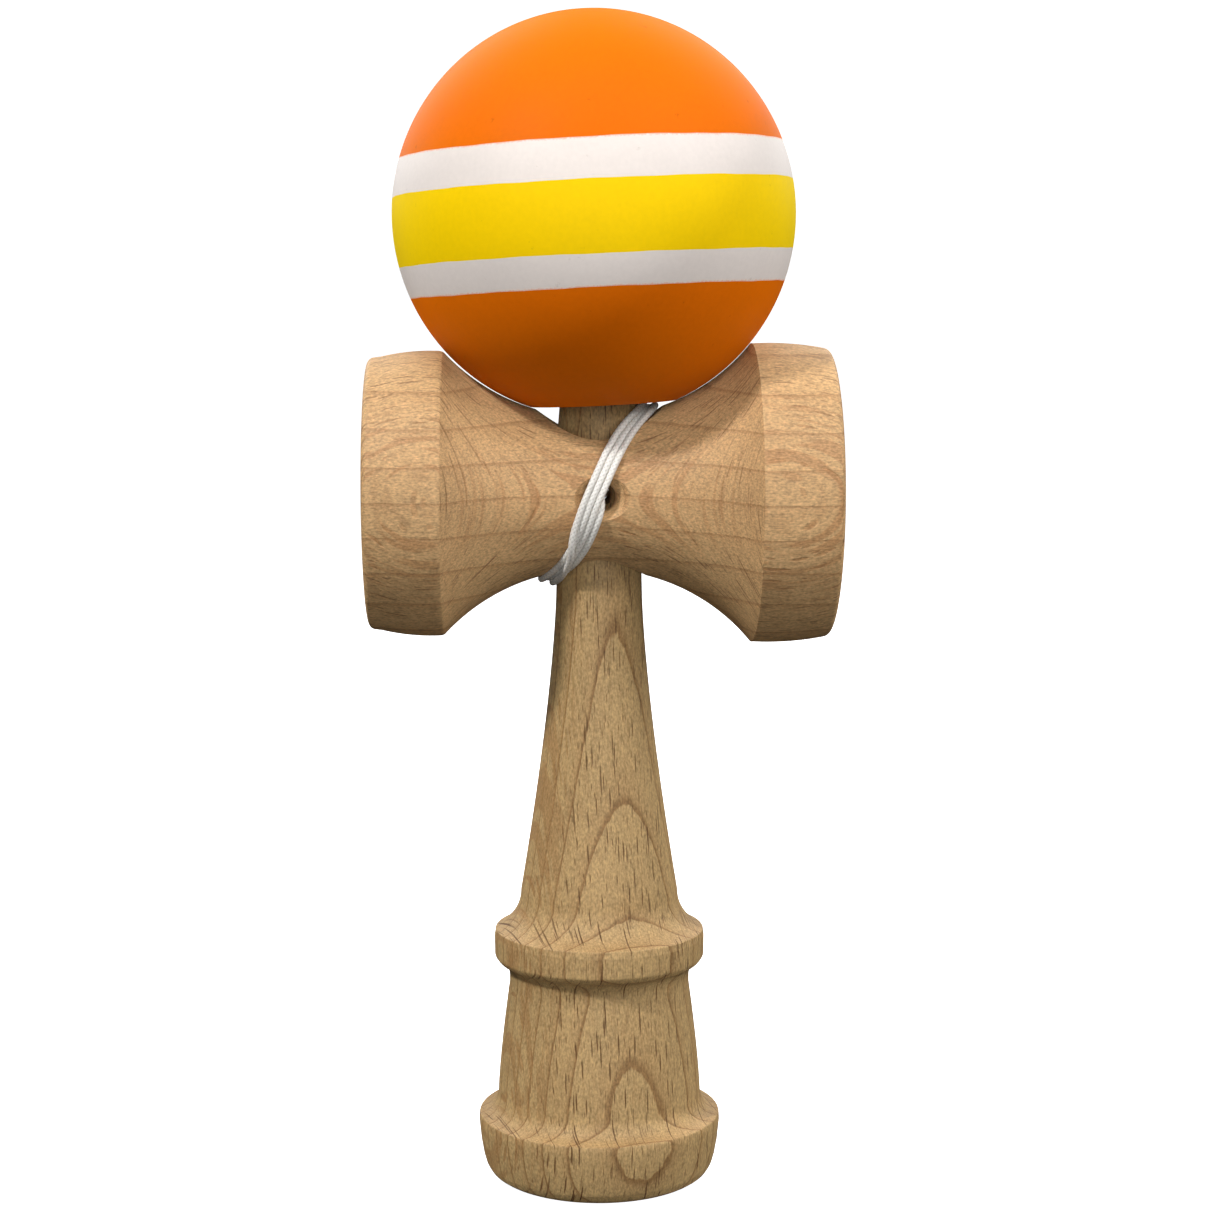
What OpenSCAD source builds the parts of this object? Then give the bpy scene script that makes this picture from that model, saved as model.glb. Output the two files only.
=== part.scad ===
// Kendama: a turned handle with a spike and a base cup, a cross-piece with
// two cups pressed onto it, a painted ball with a hole for the spike, and a
// braided string that runs from the handle to a bead inside the ball.
//
// Millimetres. +Z runs up the handle's axis, +X points from the small cup to
// the big cup, and the origin is the middle of the base rim that it stands on.

/* [Handle] */
// Height of the handle from the base rim to the tip of the spike
ken_h = 159.5; // [157.5:0.5:160.5]
// Radius of the neck that the cross-piece is pressed onto
neck_r = 6.4; // [6.2:0.05:6.45]
// Radius of the handle where it flares into the ring
shaft_r = 12; // [11:0.1:13]
// Radius of the ring below the shaft
ring_r = 16.1; // [15:0.1:17]
// Radius of the foot at its edge
foot_r = 18.6; // [18:0.1:19]
// Radius of the base cup's opening
base_cup_r = 14.8; // [13:0.1:15]
// Depth of the base cup
base_cup_depth = 6; // [4.5:0.1:7]

/* [Cross-piece] */
// Height of the cross-piece's axis above the base rim
cross_z = 105.1; // [104.9:0.1:105.1]
// Distance from the handle's axis to either cup's rim
cup_x = 34.6; // [34:0.1:36]
// Radius of the waist
waist_r = 11.5; // [11.3:0.1:11.5]
// Radius of the hollow curve from the waist to a cup
waist_curve_r = 30; // [29.9:0.1:30.1]
// Radius of the big cup's opening
big_cup_r = 19.6; // [18:0.1:19.8]
// Depth of the big cup
big_cup_depth = 9.2; // [7:0.1:11]
// Radius of the small cup's opening
small_cup_r = 18; // [16.5:0.1:18.2]
// Depth of the small cup
small_cup_depth = 8.5; // [7:0.1:10]

/* [Ball] */
// Radius of the painted ball
ball_r = 30; // [29.8:0.05:30]
// Thickness of the coats of paint
paint_t = 0.25; // [0.15:0.05:0.3]
// Height of the ball's centre above the base rim
ball_z = 146.5; // [146.5:0.1:146.8]
// Lean of the ball on the spike, in degrees
ball_lean = 2.8; // [2.5:0.1:3]
// Radius of the hole for the spike
spike_hole_r = 9; // [8.8:0.1:9.2]

/* [String] */
// Diameter of the string
string_d = 1; // [0.9:0.05:1.05]
// Diameter of the bead that holds the string in the ball
bead_d = 6; // [5:0.1:6.2]

/* [Hidden] */
fine = 96;
through = 1;

beech = [0.80, 0.62, 0.43];
beech_end = [0.72, 0.53, 0.35];
orange = [0.98, 0.47, 0.02];
white = [0.90, 0.88, 0.86];
yellow = [0.95, 0.82, 0.05];

// Handle: heights of its features, from the rim up
foot_edge_z = 9.4;
body_foot_z = 12.6;
body_foot_r = 15.6;
body_neck_z = 29.8;
body_neck_r = 13.8;
ring_low_z = 33.8;
ring_high_z = 37.7;
shaft_low_z = 44.3;
shaft_high_z = 90.5;
flare_r = 6.5;
shoulder_r = 3.2;
spike_root_z = cross_z + waist_r;
spike_mid_z = 147.5;
cross_hole_r = 1.6;

// Cross-piece: where the hollow curves' centres lie along it, and its barrels' inner edges
small_curve_x = -1.2;
big_curve_x = -0.35;
big_edge_x = 22.95;
small_edge_x = -23.4;
edge_chamfer = 0.3;
curve_z = waist_r + waist_curve_r;
big_barrel_r = 22.55;
small_barrel_r = 21.4;
lip_round = 1;
bore_r = neck_r + 0.03;
sink_z = 4.5;
sink_top_z = 13.5;
sink_r = 9.9;
string_hole_r = 2.2;
string_mouth_r = 4;
string_mouth_depth = 1.4;

// Ball: heights are from its centre, along its own leaning axis
ball_x = -0.75;
mouth_u = -27.9;
mouth_r = 10.2;
mouth_bevel = mouth_r - spike_hole_r;
hole_taper_u = 0;
bead_seat_u = 15.5;
bead_seat_r = 4.2;
roof_u = 23.7;
top_hole_r = 1.6;
funnel_u = 27.2;
funnel_r = 4.4;
funnel_top_u = sqrt(ball_r * ball_r - funnel_r * funnel_r);
stripe_u = [mouth_u, -11, -6.4, 3.8, 9.5, ball_r + through];

// String
bead_u = 20.2;
bead_bore_r = 0.8;
ball_knot_r = 1.3;
ball_knot_u = bead_u - bead_d / 2 - ball_knot_r;
lead_start_u = roof_u + 0.4;
ken_knot_r = 1.9;
ken_knot_y = 8.6;
tube_sides = 8;
// Route of the string from the winding up the back of the ball into its hole
lead_route = [
    [-1.5, 12.4, 99.9], [-0.9, 13.2, 102.5], [-0.3, 13.8, 105], [0.2, 14.6, 107.5],
    [0.3, 16, 110.3], [0.4, 17.5, 113.1], [0.4, 18.9, 115.8], [0.5, 20.3, 118.6],
    [0.6, 21.8, 121.4], [0.7, 23.2, 124.2], [0.8, 24.7, 126.9], [0.9, 26.1, 129.7],
    [0.9, 27.5, 132.5], [0.7, 28.8, 135.2], [0.6, 29.7, 138], [0.4, 30.4, 140.9],
    [0.2, 30.8, 143.9], [0, 30.9, 146.8], [-0.2, 30.7, 149.8], [-0.4, 30.3, 152.8],
    [-0.6, 29.5, 155.6], [-0.8, 28.5, 158.4], [-1, 27.2, 161.1], [-1.2, 25.7, 163.7],
    [-1.3, 23.9, 166.1], [-1.5, 21.9, 168.3], [-1.6, 19.7, 170.3], [-1.8, 17.3, 172.1],
    [-1.9, 14.8, 173.6], [-2, 12.1, 174.9], [-2.1, 9.3, 175.9], [-2.2, 6.4, 176.7],
    [-2.2, 5, 176.9], [-2.2, 3.7, 176.6], [-2.2, 2.6, 175.9], [-2.1, 1.6, 175],
    [-2.1, 0.8, 174], [-2, 0.2, 172.9], [-2, 0, 171.7], [-1.9, 0, 170.6]];
// Winding: angles run round the waist from the front, up over the top
wind_gap = 0.12;
wind_lead = 4.8;
wind_reach = 8;
wind_front_x = -1.3;
wind_half_w = 1.65;
wind_side_w = 1.35;
wind_t = 1.1;
wind_side_t = 1.95;
wind_step = 10;

// Points of an arc, from angle a to angle b in n steps
function arc(c, r, a, b, n) =
    [for (i = [0 : n]) c + r * [cos(a + (b - a) * i / n), sin(a + (b - a) * i / n)]];

// Points of a curve whose radius goes from r0 at z0 to r1 at z1 by a power
function swell(z0, r0, z1, r1, power, n) =
    [for (i = [0 : n]) [r0 + (r1 - r0) * pow(i / n, power), z0 + (z1 - z0) * i / n]];

// Radius of a sphere whose cap has this opening and depth
function dish_r(opening, depth) = (opening * opening + depth * depth) / (2 * depth);

// Radius of the cross-piece's outside at x along it, between the cups
function waist_at(x) =
    let (dx = max(x - big_curve_x, 0) + min(x - small_curve_x, 0))
    curve_z - sqrt(waist_curve_r * waist_curve_r - dx * dx);

function unit(v) = v / norm(v);
function smooth(t) = t * t * (3 - 2 * t);

// Triangles of a closed tube or ring over n rings of m points
function ring_faces(n, m, closed) =
    [for (i = [0 : closed ? n - 1 : n - 2], j = [0 : m - 1])
        let (a = i * m + j, b = i * m + (j + 1) % m, c = ((i + 1) % n) * m)
        each [[a, b, c + j], [b, c + (j + 1) % m, c + j]]];

// Round tube swept along a route, its sides kept level with the X axis
module tube(route, d, sides) {
    n = len(route);
    points = [for (i = [0 : n - 1])
        let (t = unit(route[min(i + 1, n - 1)] - route[max(i - 1, 0)]),
            u = unit(cross(t, [1, 0, 0])), v = cross(t, u))
        for (j = [0 : sides - 1])
            route[i] + d / 2 * (cos(360 * j / sides) * u + sin(360 * j / sides) * v)];
    start = [for (j = [sides - 1 : -1 : 0]) j];
    end = [for (j = [0 : sides - 1]) (n - 1) * sides + j];
    polyhedron(points, concat([start], ring_faces(n, sides, false), [end]));
}

// Solid of revolution about X from an outline of [x, radius] points
module turned_x(outline) {
    rotate([90, 0, 90])
        rotate_extrude($fn = fine)
            polygon([for (p = outline) [p[1], p[0]]]);
}

// Places its children on the ball's own leaning axis
module on_ball() {
    translate([ball_x, 0, ball_z])
        rotate([0, -ball_lean, 0])
            children();
}

// Outline of the handle, from the base rim to the spike
module ken_outline() {
    foot = [[0, 0], [16, 0], [16.9, 0.6], [17.5, 1.6], [17.9, 3], [18.3, 5.2],
        [foot_r, 8.2], [foot_r - 0.05, foot_edge_z - 0.3]];
    shoulder = arc([body_foot_r + shoulder_r, body_foot_z], shoulder_r, 264, 180, 8);
    body = swell(body_foot_z, body_foot_r, body_neck_z, body_neck_r, 1.35, 8);
    under_ring = arc([body_neck_r + 2.5, body_neck_z + 1.2], 2.5, 180, 112, 6);
    ring = [[ring_r - 0.4, ring_low_z - 0.1], [ring_r - 0.05, ring_low_z + 0.4],
        [ring_r, ring_high_z - 0.4], [ring_r - 0.1, ring_high_z]];
    flare = arc([shaft_r + flare_r, shaft_low_z], flare_r, 247, 180, 10);
    shaft = swell(shaft_high_z, neck_r + 0.1, shaft_low_z, shaft_r, 1.42, 14);
    spike = [[neck_r, shaft_high_z + 4], [neck_r, spike_root_z - 4],
        [neck_r - 0.5, spike_root_z + 2], [4.6, spike_mid_z], [3.6, spike_mid_z + 6],
        [2.5, ken_h - 2.2], [1.6, ken_h - 0.6], [0.7, ken_h - 0.1], [0, ken_h]];
    polygon(concat(foot, shoulder, body, under_ring, ring, flare,
        [for (i = [len(shaft) - 2 : -1 : 0]) shaft[i]], spike));
}

// Handle, with the base cup and the cross hole for the string
module ken() {
    cup_r = dish_r(base_cup_r, base_cup_depth);
    color(beech)
        difference() {
            rotate_extrude($fn = fine) ken_outline();
            translate([0, 0, base_cup_depth - cup_r]) sphere(r = cup_r, $fn = fine);
            translate([0, 0, cross_z])
                rotate([90, 0, 0])
                    cylinder(r = cross_hole_r, h = 2 * neck_r + through, center = true, $fn = 48);
        }
}

// Outline of the cross-piece, from the small cup's rim to the big cup's
function sarado_outline() =
    let (small_a = asin((small_edge_x - small_curve_x) / waist_curve_r),
        big_a = asin((big_edge_x - big_curve_x) / waist_curve_r))
    concat(
        [[-cup_x, 0], [-cup_x, small_cup_r + 0.7]],
        arc([-cup_x + lip_round, 19.4], lip_round, 165, 100, 4),
        arc([small_edge_x - 1.8, small_barrel_r - 32], 32, 103.5, 88, 6),
        [[small_edge_x, waist_at(small_edge_x) - edge_chamfer / 3]],
        arc([small_curve_x, curve_z], waist_curve_r, 270 + small_a + 1, 270, 16),
        arc([big_curve_x, curve_z], waist_curve_r, 270, 270 + big_a - 1, 16),
        [[big_edge_x, waist_at(big_edge_x) - edge_chamfer / 3]],
        arc([big_edge_x + 2.6, big_barrel_r - 45], 45, 92.6, 80, 6),
        arc([cup_x - lip_round, 20.8], lip_round, 70, 8, 4),
        [[cup_x, big_cup_r + 0.5], [cup_x, 0]]);

// A cup's hollow, cut into the end face on the side given by its sign
module cup_hollow(side, opening, depth) {
    r = dish_r(opening, depth);
    translate([side * (cup_x - depth + r), 0, 0]) sphere(r = r, $fn = fine);
}

// One string hole, out through the side given by its sign, with its mouth
module string_hole(side) {
    rotate([side * 90, 0, 0]) {
        cylinder(r = string_hole_r, h = waist_r + through, $fn = 48);
        translate([0, 0, waist_r - string_mouth_depth])
            cylinder(r1 = string_hole_r, r2 = string_mouth_r + 0.3,
                h = string_mouth_depth + 0.4, $fn = 48);
    }
}

// Cross-piece, with its two cups, the bore for the neck and the string holes
module sarado() {
    color(beech)
        translate([0, 0, cross_z])
            difference() {
                turned_x(sarado_outline());
                cup_hollow(1, big_cup_r, big_cup_depth);
                cup_hollow(-1, small_cup_r, small_cup_depth);
                cylinder(r = bore_r, h = 2 * waist_r + 8, center = true, $fn = fine);
                translate([0, 0, sink_z])
                    cylinder(r1 = bore_r, r2 = sink_r, h = sink_top_z - sink_z, $fn = fine);
                string_hole(1);
                string_hole(-1);
            }
}

// The spike hole, the bead's seat, the string hole and the funnel above it
module ball_holes() {
    bore = [[0, mouth_u - through], [mouth_r + through, mouth_u - through],
        [mouth_r, mouth_u], [spike_hole_r, mouth_u + mouth_bevel], [spike_hole_r, hole_taper_u],
        [bead_seat_r, bead_seat_u], [bead_seat_r, roof_u], [top_hole_r, roof_u],
        [top_hole_r, funnel_u], [funnel_r, funnel_top_u], [funnel_r + 1.6, ball_r + through],
        [0, ball_r + through]];
    rotate_extrude($fn = fine) polygon(bore);
}

// Wooden ball under its paint
module ball_core() {
    color(beech_end)
        on_ball()
            difference() {
                sphere(r = ball_r - paint_t, $fn = fine);
                translate([0, 0, mouth_u - ball_r])
                    cylinder(r = ball_r, h = ball_r, $fn = fine);
                ball_holes();
            }
}

// One coat of paint, between two heights along the ball's axis
module paint_coat(low, high) {
    on_ball()
        intersection() {
            difference() {
                sphere(r = ball_r, $fn = fine);
                sphere(r = ball_r - paint_t, $fn = fine);
                ball_holes();
            }
            translate([0, 0, low]) cylinder(r = ball_r + through, h = high - low, $fn = fine);
        }
}

module paint_orange_top() { color(orange) paint_coat(stripe_u[4], stripe_u[5]); }
module paint_white_upper() { color(white) paint_coat(stripe_u[3], stripe_u[4]); }
module paint_yellow_band() { color(yellow) paint_coat(stripe_u[2], stripe_u[3]); }
module paint_white_lower() { color(white) paint_coat(stripe_u[1], stripe_u[2]); }
module paint_orange_bottom() { color(orange) paint_coat(stripe_u[0], stripe_u[1]); }

// Bead inside the ball, which keeps the knot from pulling through
module string_bead() {
    color(yellow)
        on_ball()
            translate([0, 0, bead_u])
                difference() {
                    sphere(r = bead_d / 2, $fn = 48);
                    cylinder(r = bead_bore_r, h = bead_d + through, center = true, $fn = 24);
                }
}

// Knot under the bead, with the string's end that runs through the bead
module string_knot_ball() {
    color(white)
        on_ball() {
            translate([0, 0, ball_knot_u]) sphere(r = ball_knot_r, $fn = 32);
            translate([0, 0, ball_knot_u])
                cylinder(d = string_d, h = lead_start_u - 0.2 - ball_knot_u, $fn = 24);
        }
}

// String from the winding, up behind the ball and into its top hole
module string_lead() {
    color(white) tube(lead_route, string_d, tube_sides);
}

// Place along X of the middle of the winding, at an angle round the waist: it
// leans steadily over the front, and steps round the neck at top and bottom
function wind_x(a) =
    let (s = sin(a))
    wind_lead * s + (wind_reach - wind_lead) * pow(s, 7) + wind_front_x * pow(cos(a), 2);

// The turns of string round the waist, as one closed ring of their outer shape
module string_winding() {
    count = 360 / wind_step;
    points = [for (i = [0 : count - 1])
        let (a = i * wind_step, k = smooth(abs(sin(a))), x = wind_x(a),
            w = wind_half_w + (wind_side_w - wind_half_w) * k,
            t = wind_t + (wind_side_t - wind_t) * k)
        for (p = [[-w, 0], [0, 0], [w, 0], [w * 0.9, t], [0, t], [-w * 0.9, t]])
            let (r = waist_at(x + p[0]) + wind_gap + p[1])
            [x + p[0], -r * cos(a), cross_z + r * sin(a)]];
    color(white) polyhedron(points, ring_faces(count, 6, true));
}

// Knot behind the neck, with the string that runs through it to the front
module string_knot_ken() {
    front = waist_r - 0.1;
    color(white)
        translate([0, 0, cross_z]) {
            translate([0, ken_knot_y, 0]) sphere(r = ken_knot_r, $fn = 32);
            translate([0, ken_knot_y, 0])
                rotate([90, 0, 0])
                    cylinder(d = string_d, h = ken_knot_y + front, $fn = 24);
        }
}

ken();
sarado();
ball_core();
paint_orange_top();
paint_white_upper();
paint_yellow_band();
paint_white_lower();
paint_orange_bottom();
string_bead();
string_knot_ball();
string_lead();
string_winding();
string_knot_ken();
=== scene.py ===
"""Looks of the kendama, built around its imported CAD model, in the same frame.

Blender works in metres. Shapes here are laid out in millimetres, as in the CAD
source, and turned into metres as each mesh is made.
"""
import math

import bpy
import numpy as np
from mathutils import Matrix, Vector


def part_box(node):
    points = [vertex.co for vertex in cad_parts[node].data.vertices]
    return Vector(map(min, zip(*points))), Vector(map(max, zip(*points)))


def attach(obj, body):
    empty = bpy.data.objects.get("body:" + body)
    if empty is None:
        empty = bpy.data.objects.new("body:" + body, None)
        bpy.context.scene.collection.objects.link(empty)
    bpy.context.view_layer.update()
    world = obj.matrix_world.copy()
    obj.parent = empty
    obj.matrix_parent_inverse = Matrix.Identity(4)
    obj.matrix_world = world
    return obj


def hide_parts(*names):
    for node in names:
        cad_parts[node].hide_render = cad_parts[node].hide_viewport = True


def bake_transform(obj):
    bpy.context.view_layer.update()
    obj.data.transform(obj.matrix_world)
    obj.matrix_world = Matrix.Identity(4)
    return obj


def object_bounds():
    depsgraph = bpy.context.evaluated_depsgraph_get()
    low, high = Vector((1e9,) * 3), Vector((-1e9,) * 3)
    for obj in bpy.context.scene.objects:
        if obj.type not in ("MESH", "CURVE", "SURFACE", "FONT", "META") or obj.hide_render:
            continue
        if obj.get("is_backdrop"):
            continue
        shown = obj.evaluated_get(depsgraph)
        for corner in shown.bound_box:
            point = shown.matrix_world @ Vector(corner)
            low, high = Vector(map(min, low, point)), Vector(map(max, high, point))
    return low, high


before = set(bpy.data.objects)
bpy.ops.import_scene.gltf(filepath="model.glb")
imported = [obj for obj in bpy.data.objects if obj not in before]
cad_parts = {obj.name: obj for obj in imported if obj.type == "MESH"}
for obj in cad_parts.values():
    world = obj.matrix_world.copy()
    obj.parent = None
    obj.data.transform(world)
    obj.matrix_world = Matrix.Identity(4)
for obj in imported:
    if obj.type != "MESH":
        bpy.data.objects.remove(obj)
cad_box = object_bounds()

MM = 0.001

# Sizes read from the frame, in millimetres
ken_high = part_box("ken")[1] / MM
sarado_low, sarado_high = [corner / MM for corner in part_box("sarado")]
KEN_H = ken_high.z
CROSS_Z = (sarado_low.z + sarado_high.z) / 2
CUP_X = sarado_high.x

# Handle: heights and radii of its features, from the base rim up
NECK_R = 6.4
SHAFT_R = 12
RING_R = 16.1
RING_Z = (33.8, 37.7)
BASE_CUP_R = 14.8
BASE_CUP_DEPTH = 6
BODY_FOOT = (15.6, 12.6)
BODY_NECK = (13.8, 29.8)
SHAFT_Z = (44.3, 90.5)
CROSS_HOLE_R = 1.6

# Cross-piece
WAIST_R = 11.5
WAIST_CURVE_R = 30
BIG_EDGE_X = 22.95
SMALL_EDGE_X = -23.4
BIG_CURVE_X = -0.35
SMALL_CURVE_X = -1.2
BIG_CUP = (19.6, 9.2)
SMALL_CUP = (18, 8.5)
BIG_BARREL_R = 22.55
SMALL_BARREL_R = 21.4
BORE_R = NECK_R + 0.03
SINK = ((BORE_R, 4.5), (9.9, 13.5))
STRING_HOLE_R = 2.2

# Ball: heights are along its own leaning axis, from its centre
BALL_R = 30
BALL_LEAN = 2.8
BALL_AT = (-0.75, 0, 146.5)
PAINT_T = 0.25
MOUTH_U = -27.9
MOUTH_R = 10.2
SPIKE_HOLE_R = 9
TOP_HOLE_R = 1.6
FUNNEL = (4.4, 27.2)
STRIPES_U = (-11, -6.4, 3.8, 9.5)
# The edges where white meets orange, which bleeds into it
ORANGE_EDGES = (0, 3)
BEAD_U = 20.2
BEAD_R = 3
BEAD_SEAT_R = 4.2
BEAD_SEAT_U = (15.5, 23.7)

# String
STRING_R = 0.5
KNOT_Y = 8.6
# The inner knot below the bead, and the top of its stretch through the bead
KNOT_DROP = 1.3
STRETCH_TOP_U = 24.3
# Route of the string from the winding up the back of the ball into its hole
LEAD_ROUTE = [
    (-0.9, 13.2, 102.5), (-0.3, 13.8, 105), (0.2, 14.6, 107.5),
    (0.3, 16, 110.3), (0.4, 17.5, 113.1), (0.4, 18.9, 115.8), (0.5, 20.3, 118.6),
    (0.6, 21.8, 121.4), (0.7, 23.2, 124.2), (0.8, 24.7, 126.9), (0.9, 26.1, 129.7),
    (0.9, 27.5, 132.5), (0.7, 28.8, 135.2), (0.6, 29.7, 138), (0.4, 30.4, 140.9),
    (0.2, 30.8, 143.9), (0, 30.9, 146.8), (-0.2, 30.7, 149.8), (-0.4, 30.3, 152.8),
    (-0.6, 29.5, 155.6), (-0.8, 28.5, 158.4), (-1, 27.2, 161.1), (-1.2, 25.7, 163.7),
    (-1.3, 23.9, 166.1), (-1.5, 21.9, 168.3), (-1.6, 19.7, 170.3), (-1.8, 17.3, 172.1),
    (-1.9, 14.8, 173.6), (-2, 12.1, 174.9), (-2.1, 9.3, 175.9), (-2.2, 6.4, 176.7),
    (-2.2, 5, 176.9), (-2.2, 3.7, 176.6), (-2.2, 2.6, 175.9), (-2.1, 1.6, 175),
    (-2.1, 0.8, 174), (-2, 0.2, 172.9), (-2, 0, 171.7), (-1.9, 0, 170.6)]


# ---------------------------------------------------------------- camera

# Camera: place before it is turned round the object, and its angles in degrees
CAMERA_AT = (0.0012, -0.3617, 0.1303)
CAMERA_PITCH = -6.7
CAMERA_TURN = -2
CAMERA_LENS = 71.2


def make_camera():
    """Camera at the photograph's viewing angle, with no shift."""
    data = bpy.data.cameras.new("camera")
    data.sensor_width = 36
    data.lens = CAMERA_LENS
    data.clip_start = 0.01
    camera = bpy.data.objects.new("camera", data)
    bpy.context.scene.collection.objects.link(camera)
    turn = Matrix.Rotation(math.radians(CAMERA_TURN), 4, "Z")
    pitch = Matrix.Rotation(math.radians(90 + CAMERA_PITCH), 4, "X")
    camera.matrix_world = turn @ Matrix.Translation(CAMERA_AT) @ pitch
    bpy.context.scene.camera = camera


# ---------------------------------------------------------------- mesh helpers

# Edges that turn by more than this, in degrees, stay sharp
CREASE = 35


def link(name, mesh):
    """New object for a mesh, in the scene."""
    piece = bpy.data.objects.new(name, mesh)
    bpy.context.scene.collection.objects.link(piece)
    return piece


def mesh_piece(name, points, faces, crease=CREASE):
    """Piece from points in millimetres, smooth but for edges sharper than crease."""
    mesh = bpy.data.meshes.new(name)
    mesh.from_pydata((np.asarray(points, float) * MM).tolist(), [], faces)
    mesh.update()
    mesh.polygons.foreach_set("use_smooth", [True] * len(mesh.polygons))
    mesh.set_sharp_from_angle(angle=math.radians(crease))
    return link(name, mesh)


def add_values(piece, name, values):
    """One number for each point of a mesh, for its material to read."""
    attribute = piece.data.attributes.new(name, "FLOAT", "POINT")
    attribute.data.foreach_set("value", np.asarray(values, np.float32).ravel())


def ring_faces(rings, sides, closed=False):
    """Quads over rings of points, each ring closed round."""
    faces = []
    for i in range(rings if closed else rings - 1):
        low, high = i * sides, (i + 1) % rings * sides
        for j in range(sides):
            k = (j + 1) % sides
            faces.append((low + j, low + k, high + k, high + j))
    return faces


def turned(outline, sides):
    """Points and faces of an outline of (radius, height) turned about Z."""
    angles = np.linspace(0, 2 * math.pi, sides, endpoint=False)
    # Ends on the axis close to one point
    tips = [i for i in (0, len(outline) - 1) if outline[i][0] < 1e-6]
    body = [p for i, p in enumerate(outline) if i not in tips]
    points = [(r * math.cos(a), r * math.sin(a), z) for r, z in body for a in angles]
    faces = ring_faces(len(body), sides, closed=not tips)
    for end in tips:
        points.append((0, 0, outline[end][1]))
        last = len(points) - 1
        first = 0 if end == 0 else (len(body) - 1) * sides
        for j in range(sides):
            k = (j + 1) % sides
            pair = (first + k, first + j) if end == 0 else (first + j, first + k)
            faces.append((last, *pair))
    return np.array(points), faces


def arc(centre, radius, start, end, steps):
    """Points of an arc between two angles in degrees."""
    angles = np.radians(np.linspace(start, end, steps + 1))
    return [(centre[0] + radius * math.cos(a), centre[1] + radius * math.sin(a)) for a in angles]


def swell(start, end, power, steps):
    """Points of a curve between two (radius, height) points, its radius going by a power."""
    shares = np.linspace(0, 1, steps + 1)
    return [(start[0] + (end[0] - start[0]) * t ** power, start[1] + (end[1] - start[1]) * t)
            for t in shares]


def eased(outline, radius, least_turn=14):
    """The outline with each corner rounded, as sanding leaves it."""
    points = [np.array(p, float) for p in outline]
    result = [points[0]]
    for before, here, after in zip(points, points[1:], points[2:]):
        into, out = here - before, after - here
        long_in, long_out = np.linalg.norm(into), np.linalg.norm(out)
        cos_turn = np.clip(into @ out / (long_in * long_out), -1, 1)
        if math.degrees(math.acos(cos_turn)) < least_turn:
            result.append(here)
            continue
        cut = min(radius, 0.42 * long_in, 0.42 * long_out)
        start, end = here - into / long_in * cut, here + out / long_out * cut
        for t in np.linspace(0, 1, 6):
            result.append((1 - t) ** 2 * start + 2 * t * (1 - t) * here + t * t * end)
    result.append(points[-1])
    return result


def divided(outline, step):
    """The outline with its long stretches divided."""
    result = [outline[0]]
    for a, b in zip(outline, outline[1:]):
        a, b = np.array(a, float), np.array(b, float)
        parts = max(1, math.ceil(np.linalg.norm(b - a) / step))
        result += [a + (b - a) * i / parts for i in range(1, parts + 1)]
    return [tuple(p) for p in result]


def dish_arc(opening, depth, steps):
    """(radius, depth) points of a cup's hollow, from its middle to its rim."""
    ball = (opening ** 2 + depth ** 2) / (2 * depth)
    rim = math.asin(opening / ball)
    return [(ball * math.sin(rim * i / steps), depth - ball + ball * math.cos(rim * i / steps))
            for i in range(steps + 1)]


def cut(piece, cutter):
    """Takes the cutter's shape out of the piece, and removes the cutter."""
    modifier = piece.modifiers.new("cut", "BOOLEAN")
    modifier.object = cutter
    modifier.operation = "DIFFERENCE"
    modifier.solver = "EXACT"
    graph = bpy.context.evaluated_depsgraph_get()
    mesh = bpy.data.meshes.new_from_object(piece.evaluated_get(graph))
    piece.modifiers.clear()
    piece.data = mesh
    bpy.data.objects.remove(cutter)
    mesh.polygons.foreach_set("use_smooth", [True] * len(mesh.polygons))
    mesh.set_sharp_from_angle(angle=math.radians(CREASE))


def on_ball(points):
    """Points given along the ball's own axis, moved to where the ball is."""
    lean = np.array(Matrix.Rotation(math.radians(-BALL_LEAN), 3, "Y"))
    return np.asarray(points, float) @ lean.T + BALL_AT


# ---------------------------------------------------------------- node helpers

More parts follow.
